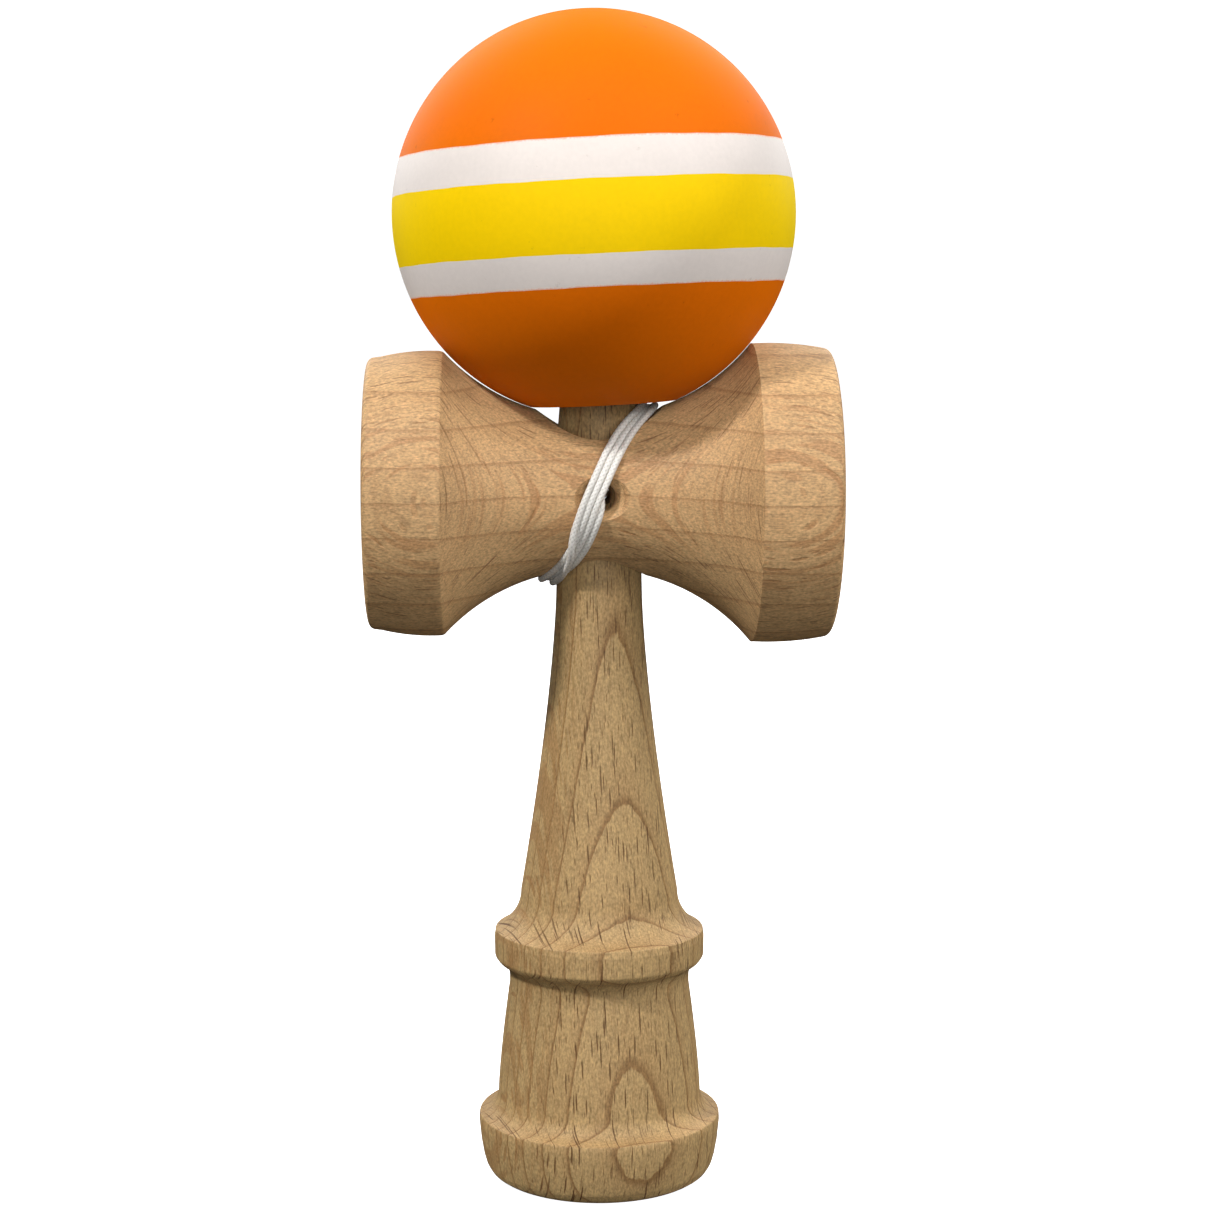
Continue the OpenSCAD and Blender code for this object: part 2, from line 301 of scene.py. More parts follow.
class Nodes:
    """Shorthand for building one material out of shader nodes."""

    def __init__(self, name):
        self.material = bpy.data.materials.new(name)
        self.material.use_nodes = True
        self.tree = self.material.node_tree
        self.shader = self.tree.nodes["Principled BSDF"]

    def add(self, kind, inputs=(), **settings):
        """A node with its settings, its inputs filled by numbers, colours or sockets."""
        node = self.tree.nodes.new("ShaderNode" + kind)
        for key, value in settings.items():
            setattr(node, key, value)
        for key, value in dict(inputs).items():
            self.fill(node.inputs[key], value)
        return node

    def fill(self, socket, value):
        """Links a socket to the input, or sets a plain value on it."""
        if isinstance(value, bpy.types.NodeSocket):
            self.tree.links.new(value, socket)
        elif socket.type == "RGBA":
            socket.default_value = (*value, 1)
        else:
            socket.default_value = value

    def math(self, operation, *values, clamp=False):
        node = self.add("Math", enumerate(values), operation=operation, use_clamp=clamp)
        return node.outputs[0]

    def vector(self, operation, *values, output=0):
        return self.add("VectorMath", enumerate(values), operation=operation).outputs[output]

    def dot(self, a, b):
        return self.vector("DOT_PRODUCT", a, b, output=1)

    def join(self, x, y, z):
        return self.add("CombineXYZ", enumerate((x, y, z))).outputs[0]

    def noise(self, vector, scale=1, detail=2, roughness=0.5):
        inputs = {"Vector": vector, "Scale": scale, "Detail": detail, "Roughness": roughness}
        return self.add("TexNoise", inputs).outputs[0]

    def around(self, value, amount):
        """Noise of 0 to 1 as a number from -amount to +amount."""
        return self.math("MULTIPLY", self.math("SUBTRACT", value, 0.5), 2 * amount)

    def step(self, value, low, high, start=0, end=1):
        """Smooth change from start, where the value is low, to end, where it is high."""
        inputs = {0: value, 1: low, 2: high, 3: start, 4: end}
        return self.add("MapRange", inputs, interpolation_type="SMOOTHSTEP").outputs[0]

    def mix(self, share, a, b, blend="MIX"):
        node = self.add("Mix", data_type="RGBA", blend_type=blend)
        for socket, value in ((0, share), (6, a), (7, b)):
            self.fill(node.inputs[socket], value)
        return node.outputs[2]

    def position(self):
        """Position in the piece's own frame, in millimetres."""
        place = self.add("TexCoord").outputs["Object"]
        return self.scale(place, 1 / MM)

    def scale(self, vector, amount):
        return self.add("VectorMath", {0: vector, "Scale": amount}, operation="SCALE").outputs[0]

    def facing(self, direction):
        """How squarely the surface faces a direction or its opposite, from 0 to 1."""
        normal = self.add("TexCoord").outputs["Normal"]
        return self.math("ABSOLUTE", self.dot(normal, direction))

    def value(self, name):
        """The number that add_values gave each point."""
        return self.add("Attribute", attribute_name=name).outputs["Fac"]

    def finish(self, colour, roughness, height, bump_mm, strength=1):
        """Links colour, roughness and bump to the shader."""
        self.fill(self.shader.inputs["Base Color"], colour)
        self.fill(self.shader.inputs["Roughness"], roughness)
        bump = self.add("Bump", {"Height": height, "Distance": bump_mm * MM, "Strength": strength})
        self.fill(self.shader.inputs["Normal"], bump.outputs[0])
        return self.material


# ---------------------------------------------------------------- string

# The winding, as rows of angle round the waist from the front (down, behind and
# up over the top), sideways shift, and lift over the turns below
WINDING = [
    (0, 2.15, 0), (-90, 0.7, 0), (-180, 1.5, 0), (-270, 0.9, 0),
    (-360, 1.09, 0), (-450, -0.3, 0), (-540, 0.5, 0), (-630, 0, 0),
    (-720, 0, 0), (-810, -1.2, 0), (-900, -0.6, 0), (-990, -0.75, 0.9),
    (-1080, -1.09, 0), (-1170, 0.5, 0.95), (-1235, 1, 0.3)]
# How far the turns lean to the side at the waist's top and bottom, the reach of their
# outermost points, and where they cross the front
WIND_LEAD = 4.8
WIND_REACH = 7.7
WIND_FRONT_X = -1.27
# From the knot behind the neck, through the handle and out of the front hole,
# its heights from the cross-piece's axis
EXIT_ROUTE = [
    (0, 7.6, 0), (0, 5, 0), (0, 2, 0), (0, -2, 0), (0, -6, 0), (0, -8.5, 0), (0, -9.6, 0),
    (0, -10.5, -0.2), (0.1, -11.2, -0.7), (0.1, -11.6, -1.5)]
# Spacing of the finished route's points
ROUTE_STEP = 0.16
# Where the string meets the wood: it may sink in this near to the front hole, it meets the
# neck above this height over the cross-piece's axis and presses this far into it, and it
# stays this near to the middle
HOLE_REACH = 3.4
NECK_FROM = 6
NECK_PRESS = 0.1
HOLLOW_X = 20
# Settling: spacing of its points, rounds, how many points along counts as another turn,
# the shares of an overlap and of a bend taken out in one round, and a round's longest move
SETTLE_STEP = 0.5
SETTLE_ROUNDS = 60
OTHER_TURN = 8
PUSH_SHARE = 0.35
DRAW_SHARE = 0.12
LONGEST_MOVE = 0.2
# Braid: length in which a strand goes round once, strands each way, and the depth of the
# grooves as a share of the radius
BRAID_PITCH = 3
BRAID_STRANDS = 4
BRAID_DEPTH = 0.15


def waist_at(x):
    """Radius of the cross-piece's outside at x along it, between the cups."""
    dx = np.maximum(x - BIG_CURVE_X, 0) + np.minimum(x - SMALL_CURVE_X, 0)
    return WAIST_R + WAIST_CURVE_R - np.sqrt(WAIST_CURVE_R ** 2 - dx * dx)


def smooth_rows(at, rows, column):
    """A column of rows, eased from row to row, at falling angles."""
    angles = -np.array([row[0] for row in rows], float)
    values = np.array([row[column] for row in rows], float)
    i = np.clip(np.searchsorted(angles, -at) - 1, 0, len(rows) - 2)
    t = np.clip((-at - angles[i]) / (angles[i + 1] - angles[i]), 0, 1)
    return values[i] + (values[i + 1] - values[i]) * t * t * (3 - 2 * t)


def winding_route():
    """Points of the turns round the waist, before they settle against each other."""
    angles = np.arange(-15, WINDING[-1][0], -2.5)
    s, c = np.sin(np.radians(angles)), np.cos(np.radians(angles))
    x = WIND_LEAD * s + (WIND_REACH - WIND_LEAD) * s ** 7 + WIND_FRONT_X * c * c
    x += smooth_rows(angles, WINDING, 1)
    reach = waist_at(x) + STRING_R + smooth_rows(angles, WINDING, 2)
    return np.stack([x, -reach * c, CROSS_Z + reach * s], axis=1)


def resampled(route, step):
    """The route with points at even steps along it."""
    route = np.asarray(route, float)
    along = np.r_[0, np.cumsum(np.linalg.norm(np.diff(route, axis=0), axis=1))]
    at = np.linspace(0, along[-1], max(2, round(along[-1] / step)) + 1)
    return np.stack([np.interp(at, along, route[:, k]) for k in range(3)], axis=1)


def sink_at(height):
    """Radius of the bore and countersink at a height above the cross-piece's axis."""
    (low_r, low), (high_r, high) = SINK
    return np.interp(height, [low, high], [low_r, high_r])


def push_out(points):
    """Moves string points out of the waist and the neck, which they lie on."""
    x, y, z = points.T
    z = z - CROSS_Z
    from_axis, from_neck = np.hypot(y, z), np.hypot(x, y)
    over_sink = (z > 0) & (from_neck < sink_at(z))
    over_mouth = (y < 0) & (np.hypot(x, z) < HOLE_REACH)
    least = waist_at(np.clip(x, -HOLLOW_X, HOLLOW_X)) + STRING_R
    short = np.where(over_sink | over_mouth, 0, np.maximum(least - from_axis, 0))
    points[:, 1] += short * y / from_axis
    points[:, 2] += short * z / from_axis
    least = NECK_R + STRING_R - NECK_PRESS
    short = np.where(z > NECK_FROM, np.maximum(least - from_neck, 0), 0)
    points[:, 0] += short * x / from_neck
    points[:, 1] += short * y / from_neck


def settled(route, first, last):
    """The route with its turns drawn taut and pushed clear of each other."""
    points = resampled(route, SETTLE_STEP)
    count = len(points)
    loose = np.zeros(count, bool)
    loose[first:last] = True
    far = np.abs(np.subtract.outer(np.arange(count), np.arange(count))) > OTHER_TURN
    for _ in range(SETTLE_ROUNDS):
        gap = points[:, None] - points[None]
        apart = np.linalg.norm(gap, axis=2)
        close = far & (apart < 2 * STRING_R)
        push = np.where(close, (2 * STRING_R - apart) / np.maximum(apart, 1e-6), 0) * PUSH_SHARE
        move = (gap * push[:, :, None]).sum(1)
        draw = np.zeros_like(points)
        draw[1:-1] = DRAW_SHARE * ((points[:-2] + points[2:]) / 2 - points[1:-1])
        points[loose] += np.clip(move + draw, -LONGEST_MOVE, LONGEST_MOVE)[loose]
        part = points[loose]
        push_out(part)
        points[loose] = part
    return points


def string_route():
    """The whole string's centreline, from knot to knot, in millimetres."""
    winding = winding_route()
    way_out = np.array(EXIT_ROUTE) + [0, 0, CROSS_Z]
    route = np.vstack([way_out, winding, LEAD_ROUTE])
    lead_long = np.linalg.norm(np.diff(LEAD_ROUTE, axis=0), axis=1).sum()
    exit_long = np.linalg.norm(np.diff(EXIT_ROUTE, axis=0), axis=1).sum()
    count = len(resampled(route, SETTLE_STEP))
    first = round(exit_long / SETTLE_STEP) + 1
    last = count - round(lead_long / SETTLE_STEP) - 2
    points = settled(route, first, last)
    for _ in range(6):
        points[1:-1] = (points[:-2] + 2 * points[1:-1] + points[2:]) / 4
    return resampled(points, ROUTE_STEP)


def frames_along(route, closed=False):
    """Two directions square to the route at each point, turning as little as they can."""
    before, after = np.roll(route, 1, axis=0), np.roll(route, -1, axis=0)
    if not closed:
        before[0], after[-1] = route[0], route[-1]
    ahead = after - before
    ahead /= np.linalg.norm(ahead, axis=1)[:, None]
    side = np.cross(ahead[0], (0.3, 0.5, 0.8))
    sides = []
    for direction in ahead:
        side = side - direction * (side @ direction)
        side = side / np.linalg.norm(side)
        sides.append(side)
    sides = np.array(sides)
    return sides, np.cross(ahead, sides)


def braid(round_share, along):
    """Height, from 0 to 1, of a round braid's surface where its strands go over and under."""
    right = BRAID_STRANDS * (round_share + along / BRAID_PITCH)
    left = BRAID_STRANDS * (round_share - along / BRAID_PITCH)
    right_i, left_i = np.round(right), np.round(left)
    right_crown = np.sqrt(np.maximum(0, 1 - (2 * (right - right_i)) ** 2))
    left_crown = np.sqrt(np.maximum(0, 1 - (2 * (left - left_i)) ** 2))
    right_up = 0.6 * right_crown + 0.4 * np.cos(math.pi * (left + right_i))
    left_up = 0.6 * left_crown - 0.4 * np.cos(math.pi * (right + left_i))
    return np.clip(np.maximum(right_up, left_up), 0, 1)


def braided(name, route, sides=32, closed=False):
    """A braided string along the route."""
    route = np.asarray(route, float)
    side, other = frames_along(route, closed)
    share = np.arange(sides) / sides
    along = np.r_[0, np.cumsum(np.linalg.norm(np.diff(route, axis=0), axis=1))]
    height = braid(share[None], along[:, None])
    radius = STRING_R * (1 - BRAID_DEPTH + BRAID_DEPTH * height)
    if not closed:
        radius[[0, -1]] *= 0.6
    cos, sin = np.cos(2 * math.pi * share), np.sin(2 * math.pi * share)
    points = (route[:, None] + radius[:, :, None]
              * (cos[None, :, None] * side[:, None] + sin[None, :, None] * other[:, None]))
    faces = ring_faces(len(route), sides, closed)
    if not closed:
        faces.append(tuple(range(sides - 1, -1, -1)))
        faces.append(tuple((len(route) - 1) * sides + j for j in range(sides)))
    piece = mesh_piece(name, points.reshape(-1, 3), faces, crease=80)
    # Depth of the grooves between strands, which the material uses for bump and for painted shade
    add_values(piece, "groove", 1 - height)
    return piece


def knot(name, centre, across, toward, tail):
    """A tight overhand knot, with its cut end."""
    t = np.linspace(0, 2 * math.pi, 90, endpoint=False)
    loop = 0.45 * np.stack([np.sin(t) + 2 * np.sin(2 * t), np.cos(t) - 2 * np.cos(2 * t),
                            -1.15 * np.sin(3 * t)], axis=1)
    across, toward = np.array(across, float), np.array(toward, float)
    axes = np.array([across, np.cross(toward, across), toward])
    ring = braided(name, loop @ axes + centre, sides=24, closed=True)
    end = braided(name + "_end", resampled(np.array(tail) @ axes + centre, ROUTE_STEP), sides=24)
    return ring, end


def join_pieces(name, pieces):
    """Joins pieces into the first one."""
    with bpy.context.temp_override(active_object=pieces[0], selected_editable_objects=pieces):
        bpy.ops.object.join()
    pieces[0].name = name
    return pieces[0]


def string_material():
    """Glossy white polyester braid, with painted shade that darkens it between its strands."""
    n = Nodes("white_string")
    groove = n.value("groove")
    place = n.position()
    fuzz = n.noise(place, 9, 3)
    # Painted shade: the colour turns grey where the braid's grooves lie between the strands
    shade = n.step(groove, 0.1, 0.75, 0, 1)
    colour = n.mix(shade, (0.86, 0.84, 0.79), (0.55, 0.53, 0.48))
    colour = n.scale(colour, n.math("ADD", 0.94, n.math("MULTIPLY", fuzz, 0.12)))
    height = n.math("SUBTRACT", n.math("MULTIPLY", fuzz, 0.4), groove)
    n.shader.inputs["Sheen Weight"].default_value = 0.25
    n.shader.inputs["Specular IOR Level"].default_value = 0.6
    return n.finish(colour, 0.42, height, 0.03)


def make_string():
    """The string, its two knots and the bead that it swivels under."""
    route = string_route()
    string = braided("string", route)
    string.data.materials.append(string_material())
    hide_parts("string_winding", "string_lead")

    back = knot("knot_ken", (0, KNOT_Y, CROSS_Z), (1, 0, 0), (0, 1, 0),
                [(0.4, -0.3, 0.2), (0.9, -0.6, 0.9), (1.3, -0.7, 1.7), (1.5, -0.6, 2.5)])
    ken_knot = join_pieces("knot_ken", back)
    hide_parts("string_knot_ken")
    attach(ken_knot, "handle")

    knot_u = BEAD_U - BEAD_R - KNOT_DROP
    up = on_ball([(0, 0, 1)])[0] - BALL_AT
    inside = knot("knot_ball", on_ball([(0, 0, knot_u)])[0], (0, 1, 0), up,
                  [(0.4, -0.3, -0.2), (0.8, -0.6, -1.2), (0.9, -0.7, -2.4), (0.7, -0.6, -4)])
    stretch = resampled(on_ball([(0, 0, knot_u), (0, 0, STRETCH_TOP_U)]), ROUTE_STEP)
    through = braided("through", stretch, sides=24)
    ball_knot = join_pieces("knot_ball", [*inside, through])
    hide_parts("string_knot_ball")
    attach(ball_knot, "tether")
    for piece in (ken_knot, ball_knot):
        piece.data.materials.clear()
        piece.data.materials.append(string.data.materials[0])

    bead = make_bead()
    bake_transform(string)


def make_bead():
    """Round bead with a rounded bore, inside the ball."""
    bore = 0.8
    outline = arc((0, 0), BEAD_R, 74, -74, 24)
    rim = outline[0]
    outline += [(bore + 0.2, -rim[1] - 0.05), (bore, -rim[1] + 0.5), (bore, rim[1] - 0.5),
                (bore + 0.2, rim[1] + 0.05)]
    points, faces = turned(eased(outline, 0.15), 64)
    bead = mesh_piece("bead", on_ball(points + [0, 0, BEAD_U]), faces)
    n = Nodes("bead_plastic")
    cloud = n.noise(n.position(), 0.8, 3)
    colour = n.mix(cloud, (0.75, 0.50, 0.03), (0.86, 0.62, 0.06))
    bead.data.materials.append(n.finish(colour, 0.22, n.noise(n.position(), 3, 2), 0.01))
    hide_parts("string_bead")
    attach(bead, "tether")
    return bead


# ---------------------------------------------------------------- beech

# Rays of the wood: the cells they are scattered in, in millimetres across the
# grain, square to the rings and along the grain; reach in a cell, share of the
# cells that hold one, and strength
RAYS = [
    ((0.62, 34, 14), 0.22, 0.6, 1),
    ((0.5, 20, 7.5), 0.25, 0.9, 1),
    ((0.34, 12, 3), 0.25, 0.9, 0.8)]
KEN_WOOD = (0.47, 0.317, 0.141)
SARADO_WOOD = (0.60, 0.385, 0.184)


def flecks(n, grid, cell, reach, share, shift):
    """Lens-shaped rays scattered through the wood, in some cells of a stretched grid."""
    scaled = n.vector("MULTIPLY", grid, tuple(1 / size for size in cell))
    placed = n.vector("ADD", scaled, (shift, shift, shift))
    cells = n.add("TexVoronoi", {"Vector": placed, "Scale": 1, "Randomness": 1})
    inside = n.step(cells.outputs["Distance"], reach * 0.6, reach, 1, 0)
    chance = n.add("SeparateColor", {0: cells.outputs["Color"]})
    chosen = n.math("LESS_THAN", chance.outputs[0], share)
    weight = n.math("MULTIPLY_ADD", chance.outputs[1], 0.5, 0.5)
    return n.math("MULTIPLY", n.math("MULTIPLY", inside, chosen), weight)


def tinted(light, *factors):
    """The wood's own colour, with its red, green and blue scaled."""
    return tuple(v * k for v, k in zip(light, factors))


class Grain:
    """A wood's directions in its piece: across the grain, square to the rings, and along it."""

    def __init__(self, n, axes, seed):
        self.n = n
        self.across, _, self.along = axes
        place = n.position()
        self.t, self.r, self.g = (n.dot(place, axis) for axis in axes)
        self.plain = n.vector("ADD", n.join(self.t, self.r, self.g), (seed, 2 * seed, 3 * seed))

    def noise(self, t_mm, r_mm, g_mm, detail=2):
        """Noise with its own size in each direction."""
        scaled = self.n.vector("MULTIPLY", self.plain, (1 / t_mm, 1 / r_mm, 1 / g_mm))
        return self.n.noise(scaled, 1, detail)


def add_rings(n, grain, light, first_ring, ring_gap, ring_depth):
    """Colour of the growth rings, pinker late in each year, and the thin line that ends it."""
    sway = n.around(grain.noise(16, 16, 45), 0.8)
    sway = n.math("ADD", sway, n.around(grain.noise(0.9, 0.9, 7), 0.14))
    years = n.math("DIVIDE", n.math("SUBTRACT", n.math("ADD", grain.r, sway), first_ring), ring_gap)
    ring = n.math("FRACT", years)
    late = n.math("MULTIPLY", n.math("POWER", ring, 4), 0.62 * ring_depth)
    line = n.math("MULTIPLY", n.step(ring, 0.88, 0.97), n.step(ring, 0.985, 1, 1, 0))
    colour = n.mix(late, light, tinted(light, 0.78, 0.67, 0.60))
    dark = tinted(light, 0.50, 0.40, 0.34)
    return n.mix(n.math("MULTIPLY", line, 0.75 * ring_depth), colour, dark), line


def add_rays(n, grain, light, colour, seed, ray_depth):
    """Dark flecks where a face cuts the rays' sheets, broad pink patches where it lies along."""
    flat_on = n.step(n.facing(grain.across), 0.6, 0.98)
    pink = tinted(light, 0.74, 0.60, 0.52)
    ray_colour = n.mix(flat_on, tinted(light, 0.27, 0.19, 0.15), pink)
    figure = n.step(grain.noise(0.26, 6, 3.2, 1), 0.5, 0.66)
    colour = n.mix(n.math("MULTIPLY", figure, 0.26), colour, tinted(light, 0.66, 0.56, 0.50))
    sheet = n.math("MULTIPLY", n.step(grain.noise(0.46, 20, 11, 1), 0.52, 0.58), flat_on)
    colour = n.mix(n.math("MULTIPLY", sheet, 0.6), colour, pink)
    bent = n.join(n.math("ADD", grain.t, n.around(grain.noise(9, 9, 14), 0.15)), grain.r, grain.g)
    depth = 0
    for cell, reach, share, strength in RAYS:
        ray = flecks(n, bent, cell, reach, share, seed + cell[0])
        colour = n.mix(n.math("MULTIPLY", ray, strength * ray_depth), colour, ray_colour)
        depth = n.math("ADD", ray, depth)
    return colour, depth


def wood_material(name, axes, first_ring, ring_gap, seed, light, ring_depth=1, ray_depth=1):
    """Beech, solid through, with its rings, rays, pores and darker end grain."""
    n = Nodes(name)
    grain = Grain(n, axes, seed)
    colour, line = add_rings(n, grain, light, first_ring, ring_gap, ring_depth)
    colour, depth = add_rays(n, grain, light, colour, seed, ray_depth)

    fibre, mottle = grain.noise(0.15, 0.15, 1.5), grain.noise(0.3, 0.3, 0.5)
    cloud = grain.noise(11, 11, 40)
    tone = n.math("ADD", n.around(fibre, 0.36), n.around(mottle, 0.6))
    tone = n.math("ADD", tone, n.around(cloud, 0.14))
    colour = n.scale(colour, n.math("ADD", tone, 1))
    end_on = n.step(n.facing(grain.along), 0.5, 0.95)
    colour = n.mix(n.math("MULTIPLY", end_on, 0.5), colour, (0.80, 0.72, 0.66), blend="MULTIPLY")

    height = n.math("SUBTRACT", n.math("MULTIPLY", fibre, 0.6), depth)
    height = n.math("SUBTRACT", height, n.math("MULTIPLY", line, 0.3))
    n.shader.inputs["Specular IOR Level"].default_value = 0.32
    n.shader.inputs["Diffuse Roughness"].default_value = 0.7
    return n.finish(colour, n.math("MULTIPLY_ADD", mottle, 0.14, 0.52), height, 0.05, 0.9)


def ken_outline():
    """(radius, height) points of the handle, from the base cup round to the spike's tip."""
    foot = [(16, 0), (16.9, 0.6), (17.5, 1.6), (17.9, 3), (18.3, 5.2), (18.6, 8.2), (18.55, 9.1)]
    shoulder = arc((BODY_FOOT[0] + 3.2, BODY_FOOT[1]), 3.2, 264, 180, 12)
    body = swell(BODY_FOOT, BODY_NECK, 1.35, 20)
    under_ring = arc((BODY_NECK[0] + 2.5, BODY_NECK[1] + 1.2), 2.5, 180, 112, 12)
    low, high = RING_Z
    ring = [(RING_R - 0.4, low - 0.1), (RING_R - 0.05, low + 0.4), (RING_R, high - 0.4),
            (RING_R - 0.1, high)]
    flare = arc((SHAFT_R + 6.5, SHAFT_Z[0]), 6.5, 247, 180, 18)
    shaft = swell((NECK_R + 0.1, SHAFT_Z[1]), (SHAFT_R, SHAFT_Z[0]), 1.42, 50)[-2::-1]
    root = CROSS_Z + WAIST_R
    spike = [(NECK_R, SHAFT_Z[1] + 4), (NECK_R, root - 4), (NECK_R - 0.5, root + 2), (4.6, 147.5),
             (3.6, 153.5), (2.5, KEN_H - 2.2), (1.6, KEN_H - 0.6), (0.7, KEN_H - 0.1), (0, KEN_H)]
    cup = dish_arc(BASE_CUP_R, BASE_CUP_DEPTH, 24)
    return cup + foot + shoulder + body + under_ring + ring + flare + shaft + spike


def make_ken():
    """Turned handle, with the cross hole that the string runs through."""
    points, faces = turned(divided(eased(ken_outline(), 0.3), 1.2), 224)
    ken = mesh_piece("ken_turned", points, faces)
    hole = [(0, -9), (CROSS_HOLE_R + 0.5, -9), (CROSS_HOLE_R + 0.45, -NECK_R), (CROSS_HOLE_R, -5.9),
            (CROSS_HOLE_R, 5.9), (CROSS_HOLE_R + 0.45, NECK_R), (CROSS_HOLE_R + 0.5, 9), (0, 9)]
    points, faces = turned(eased(hole, 0.3), 64)
    cut(ken, mesh_piece("cutter", points[:, [0, 2, 1]] * [1, -1, 1] + [0, 0, CROSS_Z], faces))
    axes = ((0.945, 0.33, 0), (0.33, -0.945, 0), (0, 0, 1))
    wood = wood_material("beech_handle", axes, 6.8, 2.85, 3.7, KEN_WOOD)
    dress(ken, wood, "beech_handle", "handle", "ken")


def sarado_outline():
    """(radius, place along X) points of the cross-piece, from one cup round to the other."""
    small_edge = math.degrees(math.asin((SMALL_EDGE_X - SMALL_CURVE_X) / WAIST_CURVE_R))
    big_edge = math.degrees(math.asin((BIG_EDGE_X - BIG_CURVE_X) / WAIST_CURVE_R))
    curve_z = WAIST_R + WAIST_CURVE_R
    small_cup = [(-CUP_X + depth, r) for r, depth in dish_arc(*SMALL_CUP, 28)]
    big_cup = [(CUP_X - depth, r) for r, depth in dish_arc(*BIG_CUP, 28)]
    outside = [
        (-CUP_X, SMALL_CUP[0] + 0.7),
        *arc((1 - CUP_X, 19.4), 1, 165, 100, 8),
        *arc((SMALL_EDGE_X - 1.8, SMALL_BARREL_R - 32), 32, 103.5, 87.6, 14),
        *arc((SMALL_CURVE_X, curve_z), WAIST_CURVE_R, 270 + small_edge + 0.2, 270, 40),
        *arc((BIG_CURVE_X, curve_z), WAIST_CURVE_R, 270.5, 270 + big_edge - 0.2, 40),
        *arc((BIG_EDGE_X + 2.6, BIG_BARREL_R - 45), 45, 93.2, 80, 14),
        *arc((CUP_X - 1, 20.8), 1, 70, 8, 8),
        (CUP_X, BIG_CUP[0] + 0.5)]
    return [(r, x) for x, r in small_cup + outside + big_cup[::-1]]


def make_sarado():
    """Turned cross-piece, with its cups, the countersunk bore and the string holes."""
    points, faces = turned(divided(eased(sarado_outline(), 0.35), 1.1), 256)
    sarado = mesh_piece("sarado_turned", points[:, [2, 0, 1]] + [0, 0, CROSS_Z], faces)
    (low_r, low), (high_r, high) = SINK
    slope = (high_r - low_r) / (high - low)
    bore = [(0, -20), (low_r + 1.6, -20), (low_r + 1.6, -14), (low_r + 0.3, 0.3 - WAIST_R),
            (low_r, 1 - WAIST_R), (low_r, low), (high_r, high), (high_r + 6 * slope, high + 6),
            (0, high + 6)]
    points, faces = turned(eased(bore, 1.2), 128)
    cut(sarado, mesh_piece("cutter", points + [0, 0, CROSS_Z], faces))
    mouth = [(STRING_HOLE_R, 10.1), (4.2, 11.8), (6.2, 12.9), (10, 14), (0, 14)]
    hole = [(r, -y) for r, y in mouth[::-1]] + mouth
    points, faces = turned(eased(hole, 0.7), 96)
    cut(sarado, mesh_piece("cutter", points[:, [0, 2, 1]] * [1, -1, 1] + [0, 0, CROSS_Z], faces))
    axes = ((0, 1, 0), (0, -0.08, 0.997), (1, 0, 0))
    wood = wood_material("beech_crosspiece", axes, 91.1, 5.05, 11.3, SARADO_WOOD, 0.5, 0.7)
    dress(sarado, wood, "beech_crosspiece", "handle", "sarado")


def dress(piece, material, slot, body, *nodes):
    """Gives a piece its material and body, and hides the CAD nodes that it stands for."""
    piece.data.materials.clear()
    piece.data.materials.append(material)
    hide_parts(*nodes)
    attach(piece, body)


# ---------------------------------------------------------------- ball

def stripe_wave(edge, angles):
    """How far a stripe's edge wanders along the ball's axis, in millimetres."""
    spin = 1.7 * edge
    return (0.05 * np.sin(3 * angles + spin) + 0.035 * np.sin(11 * angles + 2 * spin)
            + 0.02 * np.sin(29 * angles + 5 * spin))


def coat_rows(low, high, soft_low, soft_high):
    """Heights for the rows of a coat, closer together near the edges of a stripe."""
    rows = list(np.degrees(np.arccos(np.clip(np.array([high, low]) / BALL_R, -1, 1))))
    angles = list(np.linspace(rows[0], rows[1], max(3, math.ceil((rows[1] - rows[0]) / 1.5))))
    near = [0.1, 0.25, 0.5]
    if soft_high:
        angles += [rows[0] + d for d in near]
    if soft_low:
        angles += [rows[1] - d for d in near]
    return np.radians(np.sort(angles))


def make_coat(name, node, slot, material, low_edge, high_edge):
    """One coat of paint, between two edges of stripes or an end of the ball."""
    low = MOUTH_U if low_edge is None else STRIPES_U[low_edge]
    high = math.sqrt(BALL_R ** 2 - FUNNEL[0] ** 2) if high_edge is None else STRIPES_U[high_edge]
    rows = coat_rows(low, high, low_edge is not None, high_edge is not None)
    sides = 288
    turn = np.linspace(0, 2 * math.pi, sides, endpoint=False)
    heights = np.repeat(BALL_R * np.cos(rows)[:, None], sides, axis=1)
    distance = np.full_like(heights, 9.0)
    for edge, at in ((low_edge, low), (high_edge, high)):
        if edge is not None:
            away = np.abs(heights - at)
            heights = heights + stripe_wave(edge, turn)[None] * np.maximum(0, 1 - away / 2)
        if edge in ORANGE_EDGES:
            distance = np.minimum(distance, away)
    points = []
    for radius, order in ((BALL_R, 1), (BALL_R - PAINT_T, -1)):
        height = heights[::order] / BALL_R
        flat = np.sqrt(1 - height ** 2)
        points.append(radius * np.stack([flat * np.cos(turn), flat * np.sin(turn), height], axis=2))
    points = np.concatenate(points)
    faces = [face[::-1] for face in ring_faces(len(points), sides, closed=True)]
    coat = mesh_piece(name, on_ball(points.reshape(-1, 3)), faces)
    add_values(coat, "edge", np.concatenate([distance, distance[::-1]]))
    dress(coat, material, slot, "ball", node)


